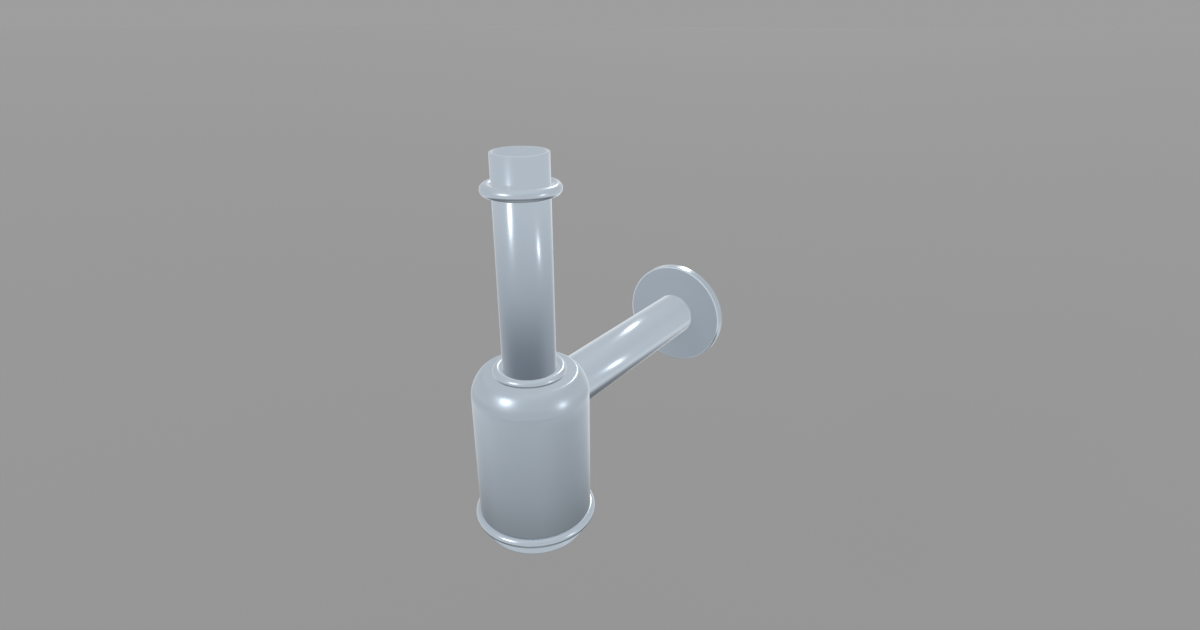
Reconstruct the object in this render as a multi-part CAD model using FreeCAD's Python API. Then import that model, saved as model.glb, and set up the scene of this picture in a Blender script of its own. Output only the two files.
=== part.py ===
"""Bottle trap for a wash basin: a plain inlet tube, a round-shouldered bottle and a wall flange.

Millimetres. The origin is where the outlet axis meets the wall face, +Y runs into the wall, +Z is up.
The inlet tube hangs in a gland on the bottle's neck and dips into the water held in the cup below.
"""
import math
import os

import FreeCAD, Part

# Tube, the same on the inlet and the outlet
tube_r = 16.0
tube_wall = 1.5

# Places of the main pieces, from the wall face and the outlet axis
bottle_to_wall = 183.6
inlet_rise = 155.6
outlet_tail = 28.0
seal_depth = 50.5

# Bottle shell
bottle_r = 35.4
bottle_wall = 1.5
shoulder_rise = 27.1
shoulder_width = 7.4
shoulder_height = 13.0
shoulder_fullness = 0.4
shell_drop = 68.9
outlet_poke = 0.4

# Neck bush with its seal, washer and gland nut
bush_wall = 1.5
bush_flange_width = 3.5
bush_flange_height = 2.0
bush_ledge_height = 3.0
gland_thread_depth = 0.6
gland_skirt_wall = 1.5
gland_skirt_length = 8.6
gland_lip_height = 2.2
gland_seal_height = 4.0
slip_washer_height = 1.0
gland_ring_standoff = 3.5
gland_ring_section_r = 2.5
gland_ring_lift = 1.2

# Sliding collar near the top of the inlet tube
collar_drop = 19.3
collar_ring_standoff = 2.9
collar_section_r = 3.25

# Soft rings that grip a tube
o_ring_section_r = 0.8
o_ring_groove_width = 2.2

# Base ring in the shell and the cup that screws into it
base_ring_height = 16.9
base_ring_wall = 2.25
cup_wall = 2.0
cup_floor = 2.0
cup_depth = 15.0
cup_foot_flare = 0.5
cup_foot_height = 3.6
cup_foot_round = 0.5
cup_thread_depth = 0.6
cup_thread_length = 11.5
cup_neck_height = 1.4
bead_ring_inset = 0.2
bead_section_r = 3.1
bead_gap = 0.3
bead_web_height = 4.0
cup_seal_height = 2.1
cup_seal_width = 2.3

# Wall flange
flange_r = 39.5
flange_depth = 6.2
flange_sheet = 1.2
flange_bevel = 0.9
flange_collar_wall = 3.0
flange_collar_setback = 1.0

# Clearances
running_gap = 0.08
slip_gap = 0.3
thread_gap = 0.1
braze_gap = 0.05
rim_break = 0.3
round_corner = math.sqrt(0.5)

# Worked out from the sizes above
tube_bore_r = tube_r - tube_wall
bottle_bore_r = bottle_r - bottle_wall
shoulder_start = shoulder_rise - shoulder_height
roof_under = shoulder_rise - bottle_wall
gland_bore_r = tube_r + slip_gap
gland_thread_r = gland_bore_r + gland_skirt_wall + gland_thread_depth
gland_ring_r = tube_r + gland_ring_standoff
gland_seat = shoulder_rise
skirt_end = gland_seat - gland_skirt_length
washer_low = skirt_end - slip_washer_height
seal_low = washer_low - gland_seal_height
bush_low = seal_low - bush_ledge_height
bush_bore_r = gland_thread_r + thread_gap
bush_r = bush_bore_r + bush_wall
groove_r = tube_r + running_gap + 2 * o_ring_section_r
o_ring_r = tube_r + running_gap / 2 + o_ring_section_r
collar_ring_r = tube_r + collar_ring_standoff
collar_rise = inlet_rise - collar_drop
dip_end = -(tube_bore_r + seal_depth)
base_ring_r = bottle_bore_r - braze_gap
base_ring_bore_r = base_ring_r - base_ring_wall
cup_r = base_ring_bore_r - thread_gap
cup_foot_r = cup_r + cup_foot_flare
cup_low = -(shell_drop + cup_depth)
cup_thread_low = -shell_drop + cup_neck_height
cup_top = cup_thread_low + cup_thread_length
bead_ring_r = bottle_r - bead_ring_inset
bead_rise = -(shell_drop + bead_gap + bead_section_r)
seal_recess_low = -(shell_drop + cup_seal_height)
cup_seal_r = cup_r + thread_gap + cup_seal_width
outlet_start = math.sqrt(bottle_bore_r ** 2 - tube_r ** 2) - outlet_poke

bottle_axis = FreeCAD.Vector(0, -bottle_to_wall, 0)
up = FreeCAD.Vector(0, 0, 1)
across = FreeCAD.Vector(1, 0, 0)
origin = FreeCAD.Vector(0, 0, 0)


def at(radius, height):
    """A point of a turned section: radius from the axis and height along it."""
    return FreeCAD.Vector(radius, 0, height)


def turned(section):
    """A solid turned about Z from a closed section.

    An entry (radius, height) is a straight run to that point.
    An entry (radius, height, corner, fullness) is a bend to it that leans on the corner:
    a quarter ellipse at round_corner, flatter below it.
    """
    edges = []
    last = at(*section[-1][:2])
    for entry in section:
        point = at(*entry[:2])
        if len(entry) > 2:
            corner, fullness = entry[2:]
            curve = Part.BezierCurve()
            curve.setPoles([last, at(*corner), point])
            curve.setWeight(2, fullness)
            edges.append(curve.toShape())
        else:
            edges.append(Part.makeLine(last, point))
        last = point
    face = Part.Face(Part.Wire(edges))
    return face.revolve(origin, up, 360)


def ring(inner_r, outer_r, low, high):
    """A plain ring about Z."""
    return turned([(inner_r, low), (outer_r, low), (outer_r, high), (inner_r, high)])


def round_ring(ring_r, section_r, height):
    """A ring of round section about Z."""
    return Part.makeTorus(ring_r, section_r, at(0, height), up)


def on_bottle_axis(shape):
    """The shape moved from the Z axis to the bottle's own axis."""
    shape.translate(bottle_axis)
    return shape


def on_outlet_axis(shape):
    """The shape turned so that its height runs out from the wall along the outlet."""
    shape.rotate(origin, across, 90)
    return shape


def bottle_body():
    """The drawn shell: a straight wall, a rounded shoulder and a flat roof with the neck hole."""
    flat_r = bottle_r - shoulder_width
    neck_r = bush_r + braze_gap
    shell = turned([
        (bottle_r, -shell_drop),
        (bottle_r, shoulder_start),
        (flat_r, shoulder_rise, (bottle_r, shoulder_rise), shoulder_fullness),
        (neck_r, shoulder_rise),
        (neck_r, roof_under),
        (flat_r, roof_under),
        (bottle_bore_r, shoulder_start, (bottle_bore_r, roof_under), shoulder_fullness),
        (bottle_bore_r, -shell_drop),
    ])
    toward_wall = FreeCAD.Vector(0, 1, 0)
    hole = Part.makeCylinder(tube_r + braze_gap, bottle_r + bottle_wall, origin, toward_wall)
    return on_bottle_axis(shell.cut(hole))


def neck_bush():
    """The threaded bush in the neck, with a flange under the roof and a ledge for the gland seal."""
    flange_low = roof_under - bush_flange_height
    flange_r_out = bush_r + bush_flange_width
    return on_bottle_axis(turned([
        (bush_r, bush_low),
        (bush_r, flange_low),
        (flange_r_out, flange_low),
        (flange_r_out, roof_under),
        (bush_r, roof_under),
        (bush_r, shoulder_rise),
        (bush_bore_r, shoulder_rise),
        (bush_bore_r, seal_low),
        (gland_bore_r, seal_low),
        (gland_bore_r, bush_low),
    ]))


def base_ring():
    """The threaded ring inside the shell's lower end."""
    return on_bottle_axis(ring(base_ring_bore_r, base_ring_r, -shell_drop, base_ring_height - shell_drop))


def outlet_tube():
    """The straight tube from inside the bottle, through the wall flange, to its tail in the wall."""
    return on_outlet_axis(ring(tube_bore_r, tube_r, -outlet_tail, bottle_to_wall - outlet_start))


def inlet_tube():
    """The straight tube from the open top rim down to the dip end under water."""
    return on_bottle_axis(turned([
        (tube_bore_r, dip_end),
        (tube_r, dip_end),
        (tube_r, inlet_rise - rim_break),
        (tube_r - rim_break, inlet_rise),
        (tube_bore_r, inlet_rise),
    ]))


def inlet_collar():
    """The rounded collar that slides on the inlet tube, with a groove inside for its soft ring."""
    half_groove = o_ring_groove_width / 2
    low = collar_rise - collar_section_r
    high = collar_rise + collar_section_r
    collar = round_ring(collar_ring_r, collar_section_r, collar_rise)
    collar = collar.cut(Part.makeCylinder(tube_r + running_gap, high - low, at(0, low), up))
    groove = Part.makeCylinder(groove_r, 2 * half_groove, at(0, collar_rise - half_groove), up)
    return on_bottle_axis(collar.cut(groove))


def inlet_collar_o_ring():
    """The soft ring that lets the collar stay where it is put."""
    return on_bottle_axis(round_ring(o_ring_r, o_ring_section_r, collar_rise))


def gland_nut():
    """The neck nut: a rounded ring with a flat foot on the shoulder, round a lipped threaded skirt."""
    ring_rise = gland_seat + gland_ring_lift
    head_r = gland_ring_r + gland_ring_section_r
    head_top = ring_rise + gland_ring_section_r
    head = round_ring(gland_ring_r, gland_ring_section_r, ring_rise)
    head = head.common(ring(gland_bore_r, head_r + slip_gap, gland_seat, head_top + slip_gap))
    lip_top = gland_seat + gland_lip_height
    skirt = ring(gland_bore_r, gland_thread_r - gland_thread_depth, skirt_end, lip_top)
    return on_bottle_axis(head.fuse(skirt).removeSplitter())


def gland_slip_washer():
    """The hard washer that lets the nut turn without dragging the seal."""
    return on_bottle_axis(ring(gland_bore_r, gland_thread_r, washer_low, skirt_end))


def gland_seal():
    """The rubber ring that the nut presses against the inlet tube."""
    return on_bottle_axis(ring(tube_r + running_gap, gland_thread_r, seal_low, washer_low))


def clean_out_cup():
    """The screw cup: threaded neck, rounded bead with a seal recess, narrow waist and flared foot."""
    bore_r = cup_r - cup_wall
    root_r = cup_r - cup_thread_depth
    cup = turned([
        (0, cup_low),
        (cup_foot_r - cup_foot_round, cup_low),
        (cup_foot_r, cup_low + cup_foot_round, (cup_foot_r, cup_low), round_corner),
        (root_r, cup_low + cup_foot_height),
        (root_r, bead_rise),
        (cup_r, bead_rise),
        (cup_r, cup_thread_low),
        (root_r, cup_thread_low),
        (root_r, cup_top),
        (bore_r, cup_top),
        (bore_r, cup_low + cup_floor),
        (0, cup_low + cup_floor),
    ])
    web_low = bead_rise - bead_web_height / 2
    web = ring(bore_r, bead_ring_r, web_low, web_low + bead_web_height)
    recess = ring(cup_r, cup_seal_r + thread_gap, seal_recess_low, cup_thread_low)
    bead = round_ring(bead_ring_r, bead_section_r, bead_rise).fuse(web).cut(recess)
    return on_bottle_axis(cup.fuse(bead).removeSplitter())


def cup_seal():
    """The flat rubber ring in the bead's recess, pressed on the shell's lower end."""
    return on_bottle_axis(ring(cup_r + thread_gap, cup_seal_r, seal_recess_low, -shell_drop))


def wall_flange():
    """The pressed cover on the wall: a bevelled dish with a grooved collar round the tube."""
    bore_r = tube_r + running_gap
    collar_r = bore_r + flange_collar_wall
    rim_r = flange_r - flange_sheet
    sheet_in = flange_depth - flange_sheet
    groove_middle = (flange_collar_setback + sheet_in) / 2
    groove_low = groove_middle - o_ring_groove_width / 2
    groove_high = groove_middle + o_ring_groove_width / 2
    return on_outlet_axis(turned([
        (flange_r, 0),
        (flange_r, flange_depth - flange_bevel),
        (flange_r - flange_bevel, flange_depth),
        (bore_r, flange_depth),
        (bore_r, groove_high),
        (groove_r, groove_high),
        (groove_r, groove_low),
        (bore_r, groove_low),
        (bore_r, flange_collar_setback),
        (collar_r, flange_collar_setback),
        (collar_r, sheet_in),
        (rim_r - flange_bevel, sheet_in),
        (rim_r, sheet_in - flange_bevel),
        (rim_r, 0),
    ]))


def flange_o_ring():
    """The soft ring that holds the wall flange on the outlet tube."""
    groove_middle = (flange_collar_setback + flange_depth - flange_sheet) / 2
    return on_outlet_axis(round_ring(o_ring_r, o_ring_section_r, groove_middle))


pieces = [
    bottle_body,
    neck_bush,
    base_ring,
    outlet_tube,
    inlet_tube,
    inlet_collar,
    inlet_collar_o_ring,
    gland_nut,
    gland_slip_washer,
    gland_seal,
    clean_out_cup,
    cup_seal,
    wall_flange,
    flange_o_ring,
]

os.makedirs("parts", exist_ok=True)
for piece in pieces:
    shape = piece()
    shape.exportStep(f"parts/{piece.__name__}.step")
    print(piece.__name__, "solids", len(shape.Solids), "volume", round(shape.Volume, 1), shape.isValid())
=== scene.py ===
# %% [markdown]
# # A chrome bottle trap
# A bottle trap hangs below a wash basin and keeps a plug of water between the room and the drain.
# This one has a tall plain inlet tube with a rounded collar, a round-shouldered bottle, a screw-off
# cup and a straight outlet that ends in a flat wall flange.
# The solids were made first and are loaded as a fixed frame in metres. The wall face is at y = 0,
# the outlet runs along +Y, and the inlet tube stands along +Z. They could be modelled again here,
# but turned metal has no softness that a solid lacks, so they stay and get their finish instead.

# %% Load the frame
import math

import bmesh
import bpy
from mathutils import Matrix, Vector


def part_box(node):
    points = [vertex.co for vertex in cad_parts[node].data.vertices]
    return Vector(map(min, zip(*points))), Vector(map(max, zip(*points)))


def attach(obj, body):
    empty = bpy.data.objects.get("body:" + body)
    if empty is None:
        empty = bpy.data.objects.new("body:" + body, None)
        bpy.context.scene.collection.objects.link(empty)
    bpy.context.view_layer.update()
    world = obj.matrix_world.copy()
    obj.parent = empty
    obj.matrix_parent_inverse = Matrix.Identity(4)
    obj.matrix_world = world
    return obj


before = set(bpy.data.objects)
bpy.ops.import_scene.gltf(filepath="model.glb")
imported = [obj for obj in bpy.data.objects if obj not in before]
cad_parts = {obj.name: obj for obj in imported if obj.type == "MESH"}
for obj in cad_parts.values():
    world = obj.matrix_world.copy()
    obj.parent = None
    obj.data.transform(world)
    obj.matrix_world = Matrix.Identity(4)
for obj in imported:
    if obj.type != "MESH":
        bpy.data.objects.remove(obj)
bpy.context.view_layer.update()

# %% [markdown]
# ## Measures
# Every new piece and finish takes its place from the boxes of the frame's own nodes, so nothing has
# to be fitted by eye. A turned node's box gives its outer radius and its two ends, and the middle of
# the inlet tube's box is the axis that the bottle, the nut and the cup are turned about.

# %% Axes and radii from the frame


def node_box(name):
    """The lowest and highest corners of a node, as vectors."""
    low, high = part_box(name)
    return Vector(low), Vector(high)


tube_low, tube_high = node_box("inlet_tube")
shell_low, shell_high = node_box("bottle_body")
nut_low, nut_high = node_box("gland_nut")
cup_low, cup_high = node_box("clean_out_cup")
flange_low, flange_high = node_box("wall_flange")
bottle_axis = Vector(((tube_low.x + tube_high.x) / 2, (tube_low.y + tube_high.y) / 2, 0))
outlet_axis = Vector((0, 0, 0))
tube_r = (tube_high.x - tube_low.x) / 2
print("bottle axis", tuple(bottle_axis), "tube radius", round(tube_r, 5))

# %% [markdown]
# ## Camera
# The picture was taken from above and in front, a little to the right of the bottle, with a field
# of view of 50 degrees from top to bottom. The camera's place was solved from the rims and rings,
# which are circles of known size on one axis, so each one that shows as an ellipse says how far
# the camera is and how steeply it looks down. The outlet then runs away to the right.

# %% Camera
view_height = math.radians(50)
look_down = math.radians(23.7)
heading = Vector((-0.5697, 0.8219, 0))
picture_shape = 1200 / 630
camera_data = bpy.data.cameras.new("camera")
camera_data.sensor_fit = "HORIZONTAL"
camera_data.sensor_width = 36
camera_data.lens = camera_data.sensor_width / (2 * picture_shape * math.tan(view_height / 2))
camera_data.clip_end = 200
camera = bpy.data.objects.new("camera", camera_data)
bpy.context.scene.collection.objects.link(camera)
camera.location = (0.2360, -0.4508, 0.2184)
line_of_sight = heading * math.cos(look_down) + Vector((0, 0, -math.sin(look_down)))
camera.rotation_euler = line_of_sight.to_track_quat("-Z", "Y").to_euler()
bpy.context.scene.camera = camera
print("lens", round(camera_data.lens, 3), "mm")

# %% [markdown]
# ## Node helpers
# A material is a small graph of nodes. These helpers add a node and wire it in one line, which
# keeps each finish below short enough to read as a recipe. All patterns start from the object's own
# coordinates, moved so that the turning axis of the piece goes through zero.

# %% Helpers for materials


def add(tree, kind, **values):
    """Add a shader node; values set its plain sockets or its settings by name."""
    node = tree.nodes.new(kind)
    for name, value in values.items():
        socket = node.inputs.get(name.replace("_", " "))
        if socket is not None:
            socket.default_value = value
        else:
            setattr(node, name, value)
    return node


def wire(tree, start, output, end, entry):
    """Join an output to an entry, both by name or number."""
    tree.links.new(start.outputs[output], end.inputs[entry])


def new_material(name, centre):
    """An empty material with its shader, and object coordinates moved to the given centre."""
    material = bpy.data.materials.new(name)
    material.use_nodes = True
    tree = material.node_tree
    shader = tree.nodes["Principled BSDF"]
    place = add(tree, "ShaderNodeTexCoord")
    centred = add(tree, "ShaderNodeMapping")
    centred.inputs["Location"].default_value = [-value for value in centre]
    wire(tree, place, "Object", centred, "Vector")
    return material, tree, shader, centred


def ramp_between(tree, source, output, low, high, start, end):
    """A smooth step: start below low, end above high."""
    step = add(tree, "ShaderNodeMapRange", From_Min=low, From_Max=high, To_Min=start, To_Max=end)
    step.interpolation_type = "SMOOTHSTEP"
    wire(tree, source, output, step, "Value")
    return step


def times(tree, first, second):
    """The product of two number nodes."""
    product = add(tree, "ShaderNodeMath", operation="MULTIPLY")
    wire(tree, first, 0, product, 0)
    wire(tree, second, 0, product, 1)
    return product


def free_of(tree, layer_share):
    """One less the given share, a number node."""
    free = add(tree, "ShaderNodeMath", operation="SUBTRACT")
    free.inputs[0].default_value = 1
    wire(tree, layer_share, 0, free, 1)
    return free


def turning_lines(tree, centred, around, lines_per_metre):
    """Noise drawn out round an axis, as a polishing wheel or a lathe tool leaves it."""
    lay = add(tree, "ShaderNodeMapping")
    lay.inputs["Scale"].default_value = [lines_per_metre if axis == around else 25 for axis in "XYZ"]
    wire(tree, centred, 0, lay, "Vector")
    lines = add(tree, "ShaderNodeTexNoise", Scale=1, Detail=3, Roughness=0.6)
    wire(tree, lay, 0, lines, "Vector")
    return lines


def relief(tree, shader, height, strength, depth):
    """Bump from a height node."""
    bump = add(tree, "ShaderNodeBump", Strength=strength, Distance=depth)
    wire(tree, height, 0, bump, "Height")
    wire(tree, bump, 0, shader, "Normal")


# %% [markdown]
# ## Chrome
# Plated brass is not a perfect mirror. It carries a faint lay of polishing lines round each turned
# piece, a mottle of softer and sharper patches where cloths have rubbed it, and a few dried water
# spots. Its colour stays almost even, so most of the work is done by roughness and bump.
# One recipe makes all the chrome. `gloss` is the mean roughness, `tone` scales the metal's colour and
# `spots` is how strongly the water spots roughen it. The tone is painted light: above one it is a
# lighter copy of the chrome, on the tubes, rings and cup, and below one a darker copy, on the flange.
# A stretch along the axis is painted darker and bluer: painted shade above the neck of the inlet tube,
# and low on the bottle's wall above the bead.
# A darker painted patch of the same painted shade lies on the inlet tube's front, the side that faces
# back along the camera's heading, just above the neck.
# Painted shade also darkens the two sides of the bottle's wall below the shoulder, as seen from the
# camera: it has the direction of the near side, the depth on the near and on the far side, and its top.
# Darker rings along the axis are a hair of dirt beside a joint, or painted shade where the shoulder
# turns into the wall. Each has its place, its reach and its depth.
# `rim` is a radius outside which the piece is buffed smoother, as the edge of the wall flange is,
# with a painted highlight, a brighter line, just inside that edge. The colour's mix isn't clamped,
# so a factor above one lifts the colour there into that painted highlight.

# %% Chrome recipe


def water_spots(tree, centred, spots):
    """Small discs of dried drops, only in some patches."""
    drops = add(tree, "ShaderNodeTexVoronoi", Scale=150, Randomness=1)
    wire(tree, centred, 0, drops, "Vector")
    edge = ramp_between(tree, drops, "Distance", 0.10, 0.17, 1, 0)
    patch = add(tree, "ShaderNodeTexNoise", Scale=16, Detail=2)
    wire(tree, centred, 0, patch, "Vector")
    where = ramp_between(tree, patch, 0, 0.52, 0.70, 0, spots)
    return times(tree, edge, where)


def distance_from_axis(tree, centred, around):
    """How far a point is from the axis."""
    flat = add(tree, "ShaderNodeMapping")
    flat.inputs["Scale"].default_value = [0 if axis == around else 1 for axis in "XYZ"]
    wire(tree, centred, 0, flat, "Vector")
    reach = add(tree, "ShaderNodeVectorMath", operation="LENGTH")
    wire(tree, flat, 0, reach, 0)
    return reach


def facing_side(tree, centred, toward):
    """How squarely the side of an upright piece faces a level direction, from -1 to 1."""
    flat = add(tree, "ShaderNodeMapping")
    flat.inputs["Scale"].default_value = (1, 1, 0)
    wire(tree, centred, 0, flat, "Vector")
    outward = add(tree, "ShaderNodeVectorMath", operation="NORMALIZE")
    wire(tree, flat, 0, outward, 0)
    facing = add(tree, "ShaderNodeVectorMath", operation="DOT_PRODUCT")
    facing.inputs[1].default_value = toward
    wire(tree, outward, 0, facing, 0)
    return facing


def chrome(name, centre, around, gloss, spots, tone=1, stretch_shade=None, front_shade=None, sides_shade=None, seams_and_shade=(),
           rim=None, lining=None):
    """Plated metal with polishing lines that run round the given axis."""
    material, tree, shader, centred = new_material(name, centre)
    cloudy = add(tree, "ShaderNodeTexNoise", Scale=34, Detail=4, Roughness=0.55)
    wire(tree, centred, 0, cloudy, "Vector")
    swing = 0.015
    mottle = ramp_between(tree, cloudy, 0, 0.3, 0.7, gloss - swing, gloss + swing)
    rough = add(tree, "ShaderNodeMath", operation="ADD")
    wire(tree, mottle, 0, rough, 0)
    wire(tree, water_spots(tree, centred, spots), 0, rough, 1)
    if rim:
        reach = distance_from_axis(tree, centred, around)
        buffed = 0.45
        highlight_gain = 1.45
        edge_highlight_gain = 1.06
        rough = times(tree, rough, ramp_between(tree, reach, "Value", rim, rim + 0.0008, 1, buffed))
        # Painted highlight: a brighter line just inside the rim.
        highlight_rise = ramp_between(tree, reach, "Value", rim + 0.0004, rim + 0.0007, 1, highlight_gain)
        highlight_fall = ramp_between(tree, reach, "Value", rim + 0.0011, rim + 0.0015, 1, edge_highlight_gain / highlight_gain)
        rim_highlight = times(tree, highlight_rise, highlight_fall)
    tint = add(tree, "ShaderNodeMix", data_type="RGBA")
    tint.inputs["A"].default_value = (0.595 * tone, 0.680 * tone, 0.765 * tone, 1)
    tint.inputs["B"].default_value = (0.580 * tone, 0.663 * tone, 0.747 * tone, 1)
    wire(tree, cloudy, 0, tint, "Factor")
    split = add(tree, "ShaderNodeSeparateXYZ")
    wire(tree, centred, 0, split, 0)
    shade_and_dirt_layers = []
    # Painted shade: darker and bluer along a stretch of the axis.
    if stretch_shade:
        low, high, depth = stretch_shade
        shade_and_dirt_layers.append(ramp_between(tree, split, around, low, high, depth, 1))
    # Painted shade: a darker patch on the side of the tube that faces the camera.
    if front_shade:
        low, high, depth = front_shade
        reach_up = ramp_between(tree, split, around, low, high, 1 - depth, 0)
        front = ramp_between(tree, facing_side(tree, centred, -heading), "Value", 0.6, 1, 0, 1)
        shade_and_dirt_layers.append(free_of(tree, times(tree, reach_up, front)))
    # Painted shade: the two sides of the wall darker, as seen from the camera.
    if sides_shade:
        toward, near, far, top = sides_shade
        side = facing_side(tree, centred, toward)
        both_sides = add(tree, "ShaderNodeMath", operation="ADD")
        wire(tree, ramp_between(tree, side, "Value", 0.15, 0.8, 0, near), 0, both_sides, 0)
        wire(tree, ramp_between(tree, side, "Value", -0.9, -0.55, far, 0), 0, both_sides, 1)
        fade = 0.014
        below = ramp_between(tree, split, around, top - fade, top, 1, 0)
        shade_and_dirt_layers.append(free_of(tree, times(tree, both_sides, below)))
    # Darker rings: dirt beside a joint, or painted shade at the shoulder's turn.
    for ring_height, reach_out, depth in seams_and_shade:
        off = add(tree, "ShaderNodeMath", operation="SUBTRACT")
        wire(tree, split, around, off, 0)
        off.inputs[1].default_value = ring_height
        away = add(tree, "ShaderNodeMath", operation="ABSOLUTE")
        wire(tree, off, 0, away, 0)
        shade_and_dirt_layers.append(ramp_between(tree, away, 0, 0.2 * reach_out, reach_out, depth, 1))
    if rim:
        shade_and_dirt_layers.append(rim_highlight)
    # Painted shade, the painted rim highlight and joint dirt all mix the colour towards a dark blue; a
    # factor above one lifts it.
    colour = tint
    shade_and_dirt_colour = (0, 0.018, 0.055, 1)
    if shade_and_dirt_layers:
        light_and_dirt_factor = shade_and_dirt_layers[0]
        for layer_share in shade_and_dirt_layers[1:]:
            light_and_dirt_factor = times(tree, light_and_dirt_factor, layer_share)
        colour = add(tree, "ShaderNodeMix", data_type="RGBA", clamp_factor=False)
        colour.inputs["A"].default_value = shade_and_dirt_colour
        wire(tree, tint, "Result", colour, "B")
        wire(tree, light_and_dirt_factor, 0, colour, "Factor")
    wire(tree, colour, "Result", shader, "Base Color")
    wire(tree, rough, 0, shader, "Roughness")
    shader.inputs["Metallic"].default_value = 1
    if lining:
        add_lining(tree, shader, centred, around, lining, colour, rough)
    lines = turning_lines(tree, centred, around, lines_per_metre=3000)
    relief(tree, shader, lines, strength=0.02, depth=0.0001)
    return material


# %% [markdown]
# ## Lining
# A tube is plated outside only. Its bore keeps a dull skin of flash plating and lime, which is pale
# and scatters light, so the open rim shows a light mouth and not a black hole. The bore is found by
# its distance from the axis: inside that radius the shader turns from mirror to matt. `mouth` is
# where the outside plating, which creeps a little way in from the inlet's rim, begins.

# %% Lining of the tubes' bores


def add_lining(tree, shader, centred, around, lining, plating, plating_rough):
    """Swap the plating for a pale matt skin within the radius and before the mouth."""
    radius, mouth = lining
    skin_rough = 0.6
    reach = distance_from_axis(tree, centred, around)
    outer = ramp_between(tree, reach, "Value", radius, radius + 0.0004, 0, 1)
    split = add(tree, "ShaderNodeSeparateXYZ")
    wire(tree, centred, 0, split, 0)
    near_mouth = ramp_between(tree, split, around, mouth - 0.008, mouth, 0, 1)
    outside = add(tree, "ShaderNodeMath", operation="MAXIMUM")
    wire(tree, outer, 0, outside, 0)
    wire(tree, near_mouth, 0, outside, 1)
    lime = add(tree, "ShaderNodeTexNoise", Scale=180, Detail=5, Roughness=0.7)
    wire(tree, centred, 0, lime, "Vector")
    skin = add(tree, "ShaderNodeMix", data_type="RGBA")
    skin.inputs["A"].default_value = (0.76, 0.80, 0.84, 1)
    skin.inputs["B"].default_value = (0.88, 0.91, 0.94, 1)
    wire(tree, lime, 0, skin, "Factor")
    colour = add(tree, "ShaderNodeMix", data_type="RGBA")
    wire(tree, outside, 0, colour, "Factor")
    wire(tree, skin, "Result", colour, "A")
    wire(tree, plating, "Result", colour, "B")
    wire(tree, colour, "Result", shader, "Base Color")
    rough = add(tree, "ShaderNodeMix", data_type="FLOAT")
    wire(tree, outside, 0, rough, "Factor")
    rough.inputs["A"].default_value = skin_rough
    wire(tree, plating_rough, 0, rough, "B")
    wire(tree, rough, "Result", shader, "Roughness")
    metal = ramp_between(tree, outside, 0, 0, 1, 0.1, 1)
    wire(tree, metal, 0, shader, "Metallic")


lining_r = tube_r - 0.0012
neck = nut_high.z
# Painted shade: the inlet tube darker towards the neck.
neck_shade = (neck - 0.006, neck + 0.112, 0.46)
# Painted shade: a darker patch on the front of the inlet tube above the neck.
neck_front_shade = (neck + 0.004, neck + 0.054, 0.67)
inlet_mouth = tube_high.z - 0.014
beyond_the_outlet = flange_high.y + 1
shell_seam = (shell_low.z, 0.001, 0.85)
flange_seam = (flange_low.y, 0.001, 0.85)
shoulder_start = shell_high.z - 0.013
# Painted shade: a soft darker ring where the shoulder turns into the wall.
shoulder_turn_shade = (shoulder_start + 0.0022, 0.0045, 0.92)
# Painted shade: the bottle's wall darker and bluer towards the bead.
low_wall_shade = (shell_low.z - 0.006, shell_low.z + 0.032, 0.87)
view_right = Vector((heading.y, -heading.x, 0))
# Painted shade down both sides of the bottle's wall, the camera's right side the darker.
wall_sides_shade = (view_right, 0.15, 0.12, shoulder_start + 0.004)
# Painted highlight just inside this radius on the flange; outside it the flange is buffed smoother.
rim_r = flange_high.x - 0.0016
# Painted light: a tone above one is a lighter copy of the chrome, below one a darker copy.
inlet_chrome = chrome("inlet_chrome", bottle_axis, "Z", gloss=0.253, spots=0.005, tone=1.10,
                      stretch_shade=neck_shade, front_shade=neck_front_shade, lining=(lining_r, inlet_mouth))
outlet_chrome = chrome("outlet_chrome", outlet_axis, "Y", gloss=0.253, spots=0.005, tone=1.10,
                       seams_and_shade=(flange_seam,), lining=(lining_r, beyond_the_outlet))
shell_chrome = chrome("shell_chrome", bottle_axis, "Z", gloss=0.32, spots=0.015, stretch_shade=low_wall_shade,
                      sides_shade=wall_sides_shade, seams_and_shade=(shell_seam, shoulder_turn_shade))
ring_chrome = chrome("ring_chrome", bottle_axis, "Z", gloss=0.29, spots=0.02, tone=1.06)
cup_chrome = chrome("cup_chrome", bottle_axis, "Z", gloss=0.25, spots=0.02, tone=1.06, seams_and_shade=(shell_seam,))
flange_chrome = chrome("flange_chrome", outlet_axis, "Y", gloss=0.58, spots=0.02, tone=0.92, rim=rim_r)
chromes = (inlet_chrome, outlet_chrome, shell_chrome, ring_chrome, cup_chrome, flange_chrome)
print("chrome finishes", [plated.name for plated in chromes])

# %% [markdown]
# ## Hidden metal, rubber and plastic
# Some pieces show only when the trap is taken apart: the turned brass bush and base ring, the black
# rubber rings and the pale slip washer. They still get a true finish. Brass keeps coarser lines from
# the lathe and brown patches, rubber has a fine moulded grain with a bloom of chalk, and the washer
# is a slightly grey milky plastic.

# %% Brass, rubber and plastic


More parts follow.
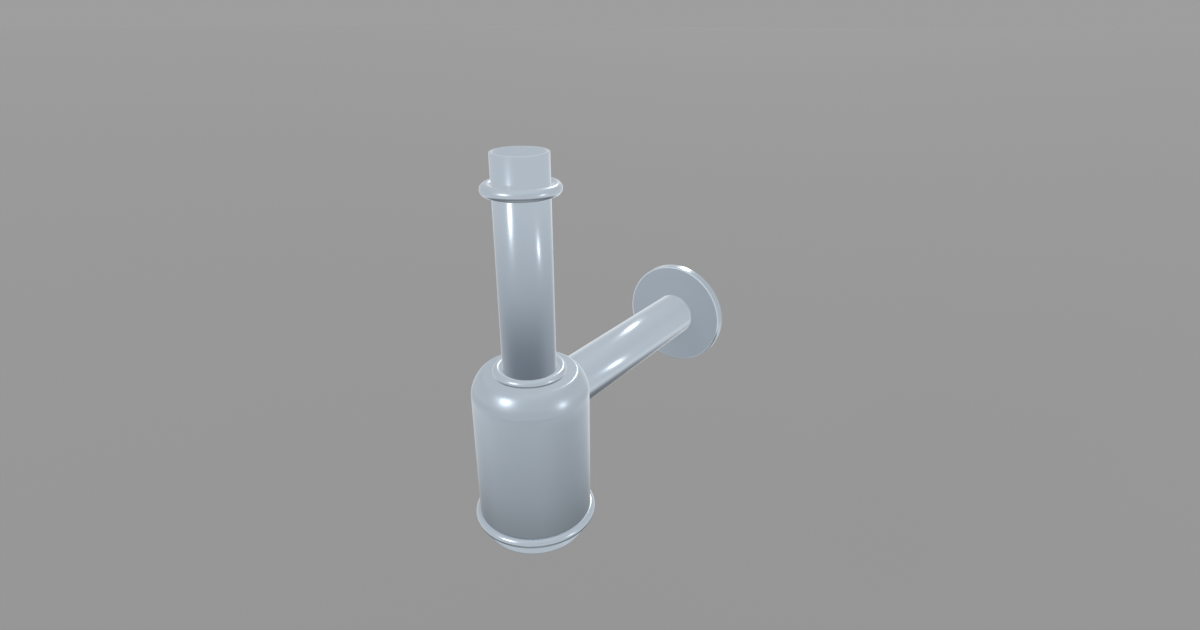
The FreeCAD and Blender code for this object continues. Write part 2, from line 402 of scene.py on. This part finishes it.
def turned_brass(name, centre):
    """Bare brass with tool lines and tarnished patches."""
    material, tree, shader, centred = new_material(name, centre)
    patches = add(tree, "ShaderNodeTexNoise", Scale=60, Detail=5, Roughness=0.6)
    wire(tree, centred, 0, patches, "Vector")
    colour = add(tree, "ShaderNodeMix", data_type="RGBA")
    colour.inputs["A"].default_value = (0.80, 0.60, 0.30, 1)
    colour.inputs["B"].default_value = (0.52, 0.34, 0.14, 1)
    wire(tree, ramp_between(tree, patches, 0, 0.42, 0.72, 0, 1), 0, colour, "Factor")
    wire(tree, colour, "Result", shader, "Base Color")
    wire(tree, ramp_between(tree, patches, 0, 0.35, 0.75, 0.26, 0.48), 0, shader, "Roughness")
    shader.inputs["Metallic"].default_value = 1
    lines = turning_lines(tree, centred, "Z", lines_per_metre=5000)
    relief(tree, shader, lines, strength=0.12, depth=0.0001)
    return material


def moulded(name, centre, dark, light, rough_low, rough_high, grain_scale, grain_depth):
    """A moulded soft or plastic piece: fine grain, and a bloom of lighter patches."""
    material, tree, shader, centred = new_material(name, centre)
    bloom = add(tree, "ShaderNodeTexNoise", Scale=90, Detail=4, Roughness=0.6)
    wire(tree, centred, 0, bloom, "Vector")
    colour = add(tree, "ShaderNodeMix", data_type="RGBA")
    colour.inputs["A"].default_value = dark
    colour.inputs["B"].default_value = light
    wire(tree, ramp_between(tree, bloom, 0, 0.4, 0.75, 0, 1), 0, colour, "Factor")
    wire(tree, colour, "Result", shader, "Base Color")
    wire(tree, ramp_between(tree, bloom, 0, 0.35, 0.7, rough_low, rough_high), 0, shader, "Roughness")
    grain = add(tree, "ShaderNodeTexNoise", Scale=grain_scale, Detail=2)
    wire(tree, centred, 0, grain, "Vector")
    relief(tree, shader, grain, strength=0.2, depth=grain_depth)
    return material


brass = turned_brass("turned_brass", bottle_axis)
rubber = moulded("black_rubber", bottle_axis, dark=(0.018, 0.018, 0.018, 1),
                 light=(0.06, 0.06, 0.058, 1), rough_low=0.55, rough_high=0.75,
                 grain_scale=2500, grain_depth=0.00005)
slip_plastic = moulded("slip_plastic", bottle_axis, dark=(0.80, 0.80, 0.76, 1),
                       light=(0.86, 0.86, 0.84, 1), rough_low=0.32, rough_high=0.45,
                       grain_scale=1800, grain_depth=0.00002)
print("hidden finishes", brass.name, rubber.name, slip_plastic.name)

# %% [markdown]
# ## Dressing the frame
# The frame's nodes keep their meshes. Only the material in each slot is changed, so the shape that
# is seen is the frame's own. In the picture each piece mirrors the soft surroundings and
# none mirrors another, so the nodes are hidden from glossy rays.

# %% Put the finishes on the nodes
finishes = {
    "bottle_body": shell_chrome,
    "neck_bush": brass,
    "base_ring": brass,
    "outlet_tube": outlet_chrome,
    "inlet_tube": inlet_chrome,
    "inlet_collar": ring_chrome,
    "inlet_collar_o_ring": rubber,
    "gland_nut": ring_chrome,
    "gland_slip_washer": slip_plastic,
    "gland_seal": rubber,
    "clean_out_cup": cup_chrome,
    "cup_seal": rubber,
    "wall_flange": flange_chrome,
    "flange_o_ring": rubber,
}
for node_name, finish in finishes.items():
    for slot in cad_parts[node_name].material_slots:
        slot.material = finish
    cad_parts[node_name].visible_glossy = False
print("dressed nodes", len(finishes))

# %% [markdown]
# ## Screw threads
# The cup and the neck nut screw in, and their threads show when they are undone. A thread is a
# ridge with sloping sides that climbs by one pitch each turn. An array of rings would be simpler,
# but rings don't climb, so the ridge's section is spun with a rise at each step. Its foot is sunk a
# little into the neck so that no gap shows, and its two open ends are closed.

# %% Ridge of a screw thread


def thread_ridge(name, root_r, crest_r, pitch, low, high, body, finish):
    """A climbing ridge about the bottle's axis, between two heights."""
    sunk_r = root_r - 0.0001
    steps_each_turn = 96
    foot_share = 0.42
    crest_share = 0.10
    section = ((sunk_r, -foot_share), (crest_r, -crest_share), (crest_r, crest_share), (sunk_r, foot_share))
    shape = bmesh.new()
    corners = [shape.verts.new((bottle_axis.x + radius, bottle_axis.y, low + part * pitch))
               for radius, part in section]
    sides = [shape.edges.new((corners[index - 1], corners[index])) for index in range(4)]
    steps = round(steps_each_turn * (high - low) / pitch)
    rise = pitch / steps_each_turn
    bmesh.ops.spin(shape, geom=corners + sides, cent=bottle_axis, axis=(0, 0, 1), dvec=(0, 0, rise),
                   angle=math.tau * steps / steps_each_turn, steps=steps)
    ends = [edge for edge in shape.edges if edge.is_boundary]
    bmesh.ops.holes_fill(shape, edges=ends, sides=4)
    bmesh.ops.recalc_face_normals(shape, faces=shape.faces)
    mesh = bpy.data.meshes.new(name)
    shape.to_mesh(mesh)
    open_edges = sum(not edge.is_manifold for edge in shape.edges)
    shape.free()
    mesh.materials.append(finish)
    ridge = bpy.data.objects.new(name, mesh)
    bpy.context.scene.collection.objects.link(ridge)
    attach(ridge, body)
    print(name, "faces", len(mesh.polygons), "open edges", open_edges)
    return ridge


# %% [markdown]
# The cup's thread has a 2 mm pitch, and it ends below the cup's top so that the plain lip finds its
# way into the base ring. The nut's is finer, at 1.5 mm, as on any gland that has to be set by hand.

# %% Threads of the cup and the nut
thread_height = 0.0006
cup_pitch = 0.002
cup_thread_r = 0.0315
cup_thread_low = cup_high.z - 0.0103
cup_thread_high = cup_high.z - 0.0010
cup_thread = thread_ridge("cup_thread", cup_thread_r - thread_height, cup_thread_r, cup_pitch,
                          cup_thread_low, cup_thread_high, "cup", cup_chrome)
nut_pitch = 0.0015
nut_thread_r = 0.0184
nut_thread_low = nut_low.z + 0.0008
nut_thread_high = nut_low.z + 0.0078
nut_thread = thread_ridge("nut_thread", nut_thread_r - thread_height, nut_thread_r, nut_pitch,
                          nut_thread_low, nut_thread_high, "nut", ring_chrome)

# %% [markdown]
# ## Floor
# The photograph has a plain grey ground with no line in it. One wide floor, some way below the
# trap, gives that ground. The metal doesn't mirror it: the soft grey slope of the world stands in
# for it there, as a lit tent would.

# %% Floor
floor_height = cup_low.z - 0.37
floor_grey = 0.374
floor_mesh = bpy.data.meshes.new("floor")
floor_shape = bmesh.new()
bmesh.ops.create_grid(floor_shape, x_segments=1, y_segments=1, size=60)
bmesh.ops.translate(floor_shape, verts=floor_shape.verts, vec=(0, 0, floor_height))
floor_shape.to_mesh(floor_mesh)
floor_shape.free()
floor = bpy.data.objects.new("floor", floor_mesh)
bpy.context.scene.collection.objects.link(floor)
floor.visible_glossy = False
floor_paint, _, shader, _ = new_material("floor_paint", (0, 0, 0))
shader.inputs["Base Color"].default_value = (floor_grey, floor_grey, floor_grey, 1)
shader.inputs["Roughness"].default_value = 0.9
floor_mesh.materials.append(floor_paint)
print("floor at", round(floor_height, 4))

# %% [markdown]
# ## Lamps
# Each soft bright spot on the rings and the shoulder gives the direction of a lamp, because the
# surface there faces halfway between the lamp and the camera. Three weak distant lamps stand in those
# directions. Their width sets how large a spot is and their strength how bright: the left one is 20
# degrees wide for its broad soft spots, and the right one only 5. Light linking keeps them off the
# two tubes, where a distant lamp would draw a streak from end to end: the tubes in the picture have
# short ones. The back lamp draws the thin arcs on the far edges, also on the bead below the bottle,
# so the bottle doesn't stand in its way. The shadow on the floor comes from the other two.

# %% Distant lamps


def direction(azimuth, rise):
    """A unit vector from its bearing round Z and its rise above the horizon, in degrees."""
    azimuth, rise = math.radians(azimuth), math.radians(rise)
    level = math.cos(rise)
    return Vector((math.cos(azimuth) * level, math.sin(azimuth) * level, math.sin(rise)))


def light_group(name, pieces):
    """A collection that tells a lamp which pieces it lights."""
    group = bpy.data.collections.new(name)
    for piece in pieces:
        group.objects.link(piece)
    return group


tubes = ("inlet_tube", "outlet_tube")
turned_pieces = [node for name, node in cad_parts.items() if name not in tubes]
all_but_tubes = light_group("all_but_tubes", turned_pieces + [cup_thread, nut_thread, floor])


def distant_lamp(name, azimuth, rise, strength, width):
    """A soft distant lamp, placed by where it stands as seen from the object."""
    data = bpy.data.lights.new(name, "SUN")
    data.energy = strength
    data.angle = math.radians(width)
    lamp = bpy.data.objects.new(name, data)
    bpy.context.scene.collection.objects.link(lamp)
    lamp.rotation_euler = (-direction(azimuth, rise)).to_track_quat("-Z", "Y").to_euler()
    lamp.light_linking.receiver_collection = all_but_tubes
    return lamp


left_lamp = distant_lamp("left_lamp", azimuth=-103, rise=29, strength=0.30, width=20)
right_lamp = distant_lamp("right_lamp", azimuth=11, rise=6, strength=0.085, width=5)
back_lamp = distant_lamp("back_lamp", azimuth=110, rise=31, strength=0.24, width=11)
back_lamp.light_linking.blocker_collection = light_group("floor_only", [floor])
print("distant lamps", left_lamp.name, right_lamp.name, back_lamp.name)

# %% [markdown]
# ## Cards
# The short streaks on the tubes come from small round cards close by. A near card is seen under an
# angle that changes fast along a tube, so its streak soon fades out. Each card stands where a ray
# from the camera would go after the tube turns it back at the middle of the streak, and it lights
# that tube alone.

# %% Cards for the tubes
inlet_only = light_group("inlet_only", [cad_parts["inlet_tube"]])
outlet_only = light_group("outlet_only", [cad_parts["outlet_tube"]])


def card(name, spot, azimuth, rise, distance, power, width, group):
    """A small round card, at a distance from the spot on a tube that mirrors it."""
    data = bpy.data.lights.new(name, "AREA")
    data.shape = "DISK"
    data.size = width
    data.energy = power
    lamp = bpy.data.objects.new(name, data)
    bpy.context.scene.collection.objects.link(lamp)
    lamp.location = spot + direction(azimuth, rise) * distance
    lamp.rotation_euler = (-direction(azimuth, rise)).to_track_quat("-Z", "Y").to_euler()
    lamp.visible_diffuse = False
    lamp.visible_camera = False
    lamp.light_linking.receiver_collection = group
    return lamp


inlet_left_spot = bottle_axis + Vector((0.0049, -0.0152, 0.1258))
inlet_right_spot = bottle_axis + Vector((0.0151, -0.0054, 0.1071))
outlet_top_spot = Vector((0.0038, -0.077, 0.0155))
outlet_side_spot = Vector((0.0150, -0.1144, 0.0057))
card("inlet_left_card", inlet_left_spot, azimuth=-96.9, rise=-15.1, distance=0.11, power=0.0062,
     width=0.021, group=inlet_only)
card("inlet_right_card", inlet_right_spot, azimuth=10.4, rise=-18, distance=0.065, power=0.0009,
     width=0.0085, group=inlet_only)
card("outlet_top_card", outlet_top_spot, azimuth=106.9, rise=36.3, distance=0.045, power=0.0011,
     width=0.013, group=outlet_only)
card("outlet_side_card", outlet_side_spot, azimuth=47.7, rise=-1.6, distance=0.045, power=0.0008,
     width=0.010, group=outlet_only)
print("cards", sum(light.type == "AREA" for light in bpy.data.lights))

# %% [markdown]
# ## World
# The world is a soft grey dome. It is lightest a good way below the horizon and dark near the
# ground, which is what the upright walls mirror from top to bottom. Behind the trap, as seen from
# the camera, it is brighter still: surfaces that turn away from the camera mirror that part, which
# gives the walls their light side edges. The narrow strip that the camera sees above the floor's far
# edge is the floor's grey, so that the ground has no horizon.

# %% World
world = bpy.data.worlds.new("studio")
bpy.context.scene.world = world
world.use_nodes = True
tree = world.node_tree
background = tree.nodes["Background"]
dome_direction = add(tree, "ShaderNodeTexCoord")
split = add(tree, "ShaderNodeSeparateXYZ")
wire(tree, dome_direction, "Generated", split, 0)
rise = add(tree, "ShaderNodeMapRange", From_Min=-1, From_Max=1)
wire(tree, split, "Z", rise, "Value")
dome = add(tree, "ShaderNodeValToRGB")
stops = [(0.00, 0.45), (0.10, 0.18), (0.16, 0.19), (0.19, 0.35), (0.21, 0.64), (0.2275, 0.80),
         (0.26, 0.82), (0.335, 0.67), (0.46, 0.69), (0.72, 0.65), (1.00, 0.76)]
while len(dome.color_ramp.elements) < len(stops):
    dome.color_ramp.elements.new(0.5)
for element, (position, level) in zip(dome.color_ramp.elements, stops):
    element.position = position
    element.color = (level, level, level, 1)
wire(tree, rise, 0, dome, 0)
wire(tree, dome, 0, background, "Color")
behind_drop = math.radians(20)
behind_strength = 1.4
behind = add(tree, "ShaderNodeVectorMath", operation="DOT_PRODUCT")
behind.inputs[1].default_value = heading * math.cos(behind_drop) - Vector((0, 0, math.sin(behind_drop)))
wire(tree, dome_direction, "Generated", behind, 0)
wire(tree, ramp_between(tree, behind, "Value", 0.80, 0.98, 1, behind_strength), 0, background, "Strength")
far_grey = 0.343
ground = add(tree, "ShaderNodeBackground", Color=(far_grey, far_grey, far_grey, 1), Strength=1)
ray = add(tree, "ShaderNodeLightPath")
seen = add(tree, "ShaderNodeMixShader")
wire(tree, ray, "Is Camera Ray", seen, 0)
wire(tree, background, 0, seen, 1)
wire(tree, ground, 0, seen, 2)
wire(tree, seen, 0, tree.nodes["World Output"], "Surface")
bpy.context.scene.view_settings.view_transform = "Standard"
print("world stops", len(stops))
